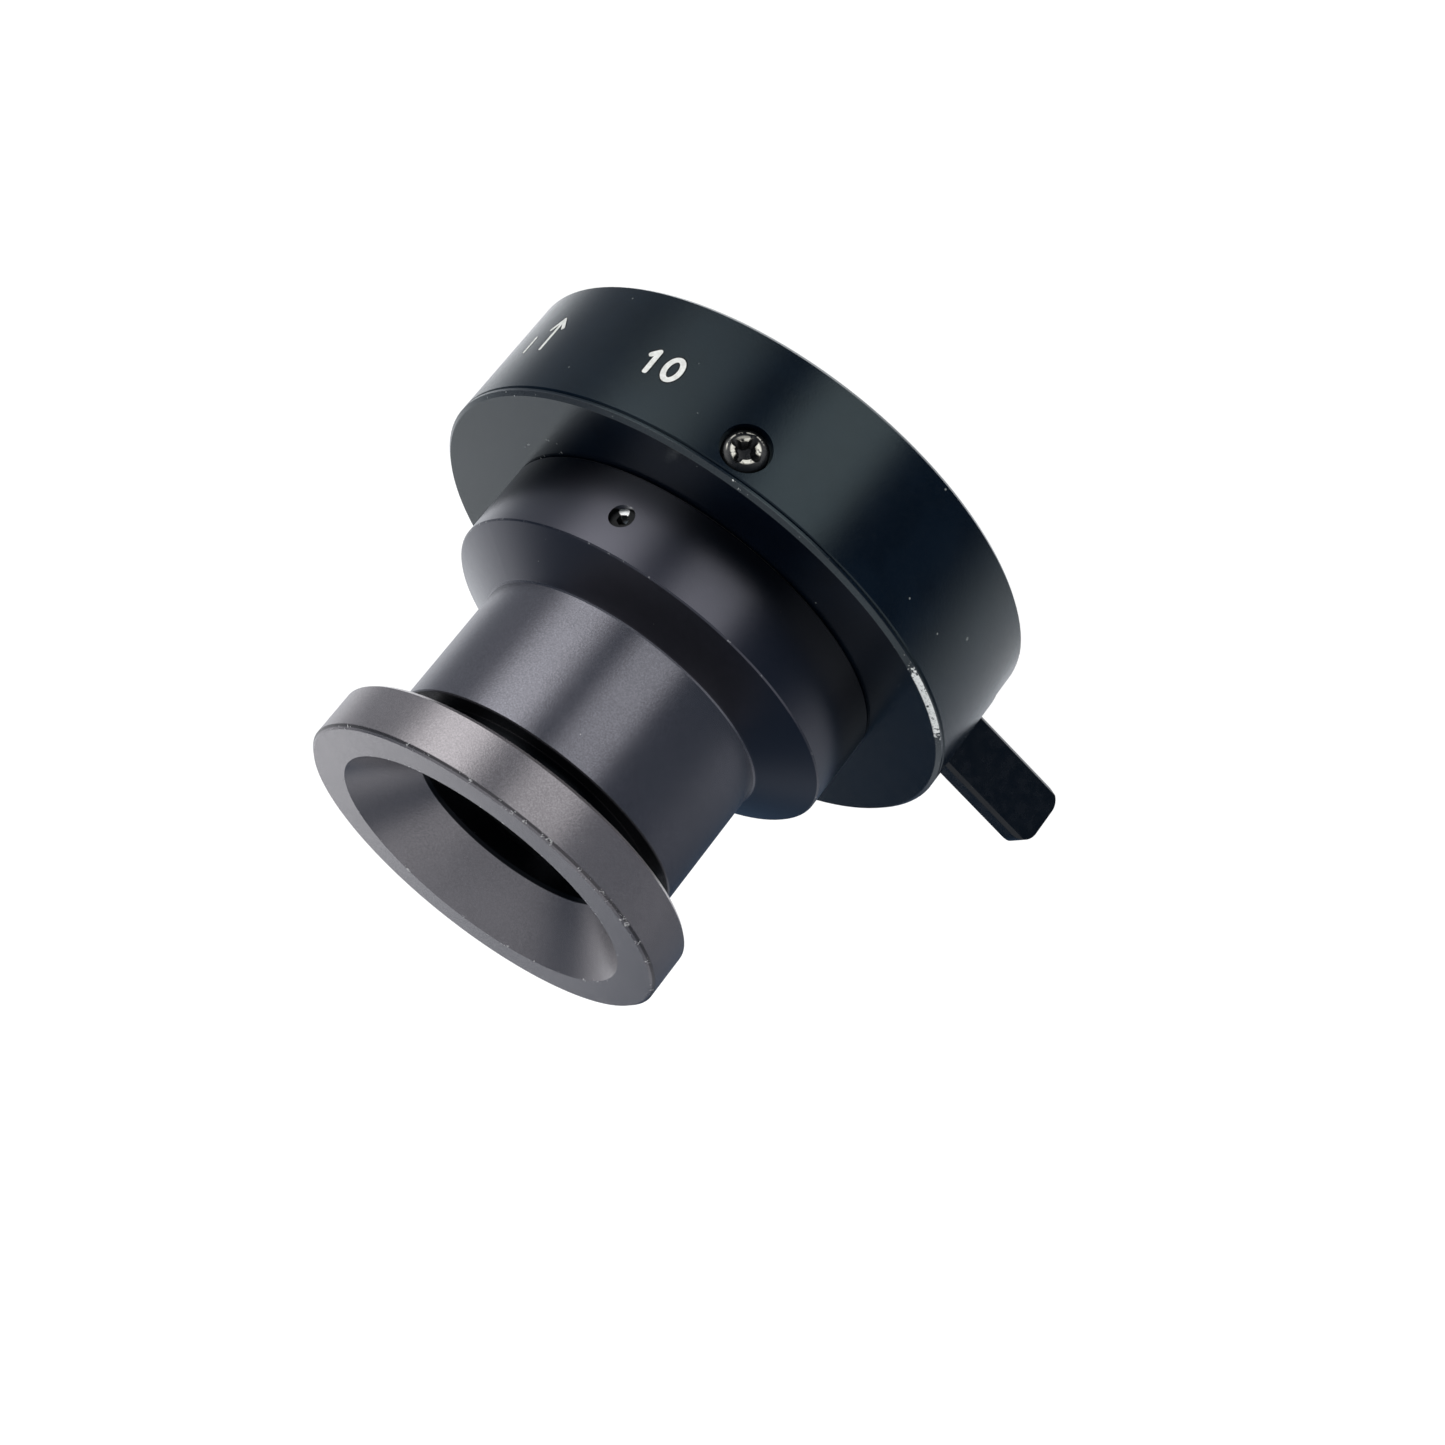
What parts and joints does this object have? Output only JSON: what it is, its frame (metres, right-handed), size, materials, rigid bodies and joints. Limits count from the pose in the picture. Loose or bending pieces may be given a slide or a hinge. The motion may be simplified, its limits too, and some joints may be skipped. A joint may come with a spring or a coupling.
{
  "type": "viewing loupe",
  "caption": "Clamp-on viewing loupe: cupped ocular flange on a stepped lens barrel, with a rear lever drum whose sliding jaws grip a matching ocular flange.",
  "frame": {"origin": "on the optical axis, in the plane of the drum's rear face, at the mouth of the rear socket", "axes": "+Z along the optical axis towards the eye, -X along the clamp lever at rest"},
  "size_m": [0.0587, 0.047, 0.0391],
  "materials": {
    "bronze_grey_anodise": "satin anodised",
    "black_anodise": "satin anodised",
    "matt_black_anodise": "matt anodised",
    "lever_black": "satin",
    "blackened_steel": "blackened",
    "jaw_steel": "ground",
    "washer_bronze": "rolled",
    "seal_rubber": "matt",
    "optical_glass": "polished, coated"
  },
  "bodies": {
    "housing": {"clamp_housing": "black_anodise", "drum_sleeve": "black_anodise", "rear_cover": "black_anodise", "thrust_washer": "washer_bronze", "sleeve_screws": "blackened_steel", "cover_screws": "blackened_steel", "set_screws": "blackened_steel", "barrel": "bronze_grey_anodise", "eyecup": "bronze_grey_anodise", "stem_seal": "seal_rubber", "eye_lens": "optical_glass", "lens_spacer": "matt_black_anodise", "crown_lens": "optical_glass", "flint_lens": "optical_glass", "lens_retainer": "matt_black_anodise", "light_baffle": "matt_black_anodise", "field_lens": "optical_glass", "field_lens_retainer": "matt_black_anodise", "window": "optical_glass", "window_seal": "seal_rubber", "window_retainer": "matt_black_anodise"},
    "cam": {"cam_ring": "black_anodise", "clamp_lever": "lever_black", "lever_stud": "jaw_steel"},
    "jaw_a": {"jaw_1": "jaw_steel", "jaw_pin_1": "jaw_steel"},
    "jaw_b": {"jaw_2": "jaw_steel", "jaw_pin_2": "jaw_steel"},
    "jaw_c": {"jaw_3": "jaw_steel", "jaw_pin_3": "jaw_steel"}
  },
  "joints": [
    {"name": "lever_turn", "type": "hinge", "parent": "housing", "child": "cam", "pos_m": [0, 0, 0.002], "axis": [0, 0, -1], "range_deg": [0, 35]},
    {"name": "jaw_a_slide", "type": "slide", "parent": "housing", "child": "jaw_a", "axis": [-0.9997, 0.0227, 0], "range_m": [0, 0.0016]},
    {"name": "jaw_b_slide", "type": "slide", "parent": "housing", "child": "jaw_b", "axis": [0.4802, -0.8771, 0], "range_m": [0, 0.0016]},
    {"name": "jaw_c_slide", "type": "slide", "parent": "housing", "child": "jaw_c", "axis": [0.5195, 0.8545, 0], "range_m": [0, 0.0016]}
  ],
  "couplings": [
    {"joint": "jaw_a_slide", "follows": "lever_turn", "m_per_rad": 0.002619},
    {"joint": "jaw_b_slide", "follows": "lever_turn", "m_per_rad": 0.002619},
    {"joint": "jaw_c_slide", "follows": "lever_turn", "m_per_rad": 0.002619}
  ]
}
